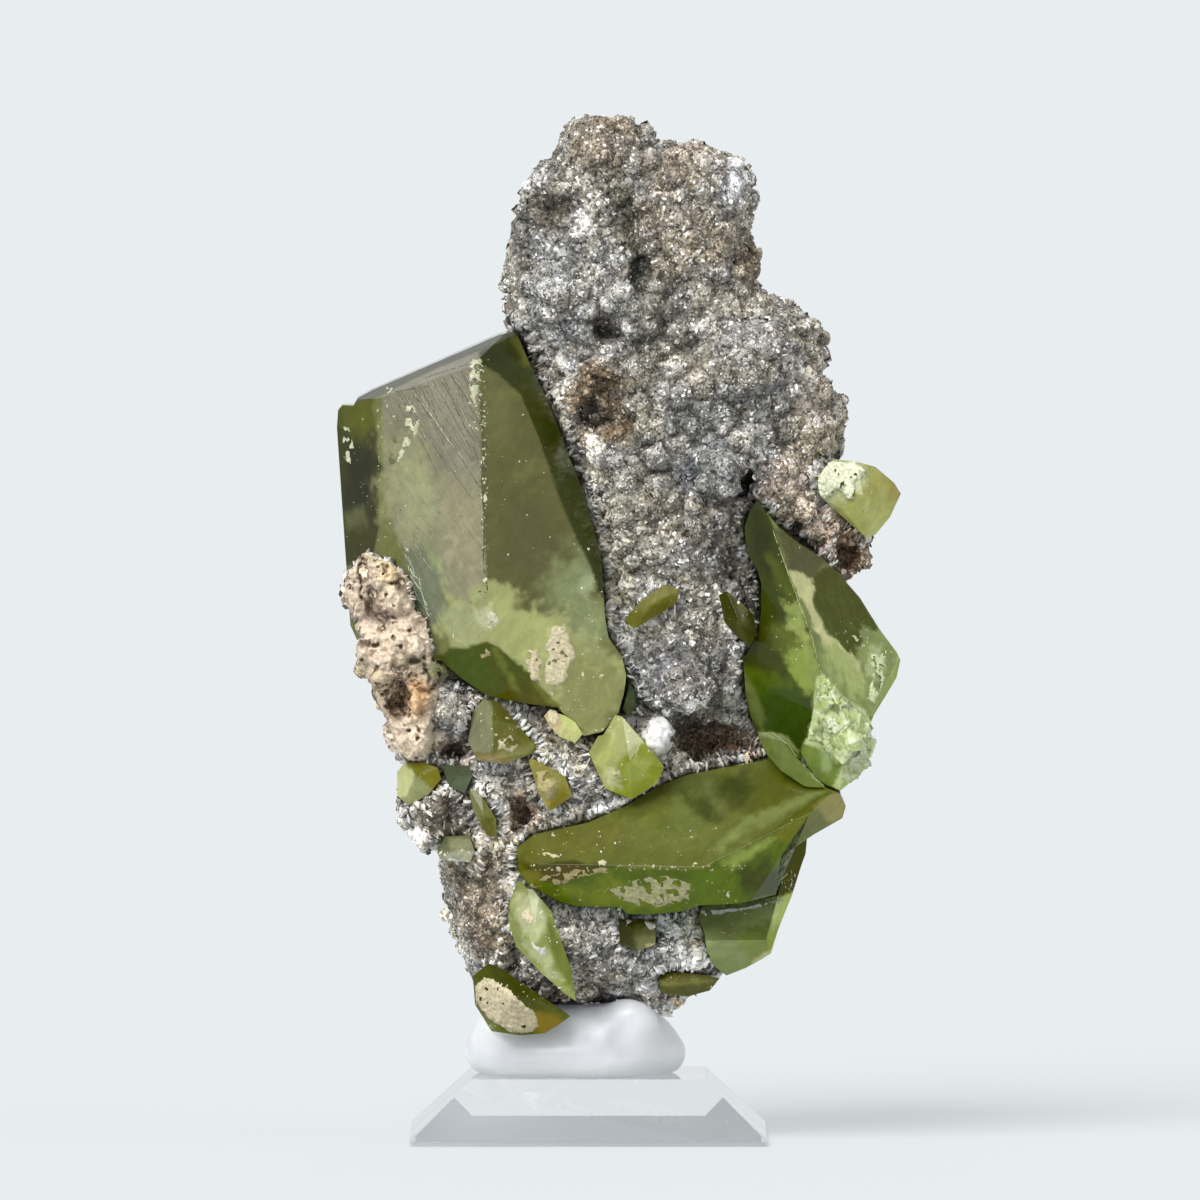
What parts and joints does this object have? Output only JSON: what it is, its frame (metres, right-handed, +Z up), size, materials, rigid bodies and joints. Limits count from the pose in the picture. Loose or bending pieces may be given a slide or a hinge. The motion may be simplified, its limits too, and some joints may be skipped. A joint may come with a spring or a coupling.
{
  "type": "titanite specimen",
  "caption": "Mineral specimen: see-through green titanite crystals grown on a grey druse-coated rock, held by white tack on a clear bevelled display base.",
  "frame": {"origin": "centre of the display base's underside, on the surface that it stands on", "axes": "+Z up, +X to the right seen from the front, -Y towards the front"},
  "size_m": [0.0507, 0.0326, 0.0916],
  "materials": {
    "rock": "rough grey-brown rock coated with sparkling druse",
    "titanite_green": "clear olive-green crystal, flat lustrous faces",
    "titanite_lime": "clear yellow-green crystal, flat lustrous faces",
    "quartz": "white translucent grain",
    "tack": "white translucent putty, satin",
    "acrylic": "clear polished acrylic"
  },
  "bodies": {
    "root": {"matrix": "rock", "crystal_left_large": "titanite_green", "crystal_lower_long": "titanite_green", "crystal_right_large": "titanite_green", "crystal_lower_right": "titanite_green", "crystal_upper_right": "titanite_green", "crystal_blade": "titanite_green", "crystal_leaf_upper": "titanite_green", "crystal_beside_left": "titanite_green", "crystal_middle_lime": "titanite_lime", "crystal_under_left": "titanite_green", "crystal_small_lime": "titanite_lime", "crystal_low_middle": "titanite_green", "crystal_left_edge": "titanite_lime", "crystal_left_pale": "titanite_lime", "crystal_grey_blade": "titanite_green", "crystal_thin_blade": "titanite_green", "crystal_leaf_lower": "titanite_green", "crystal_lower_left": "titanite_green", "crystal_lower_dark": "titanite_green", "crystal_lower_tail": "titanite_green", "quartz_grain": "quartz", "mineral_tack": "tack", "acrylic_base": "acrylic"}
  },
  "joints": []
}
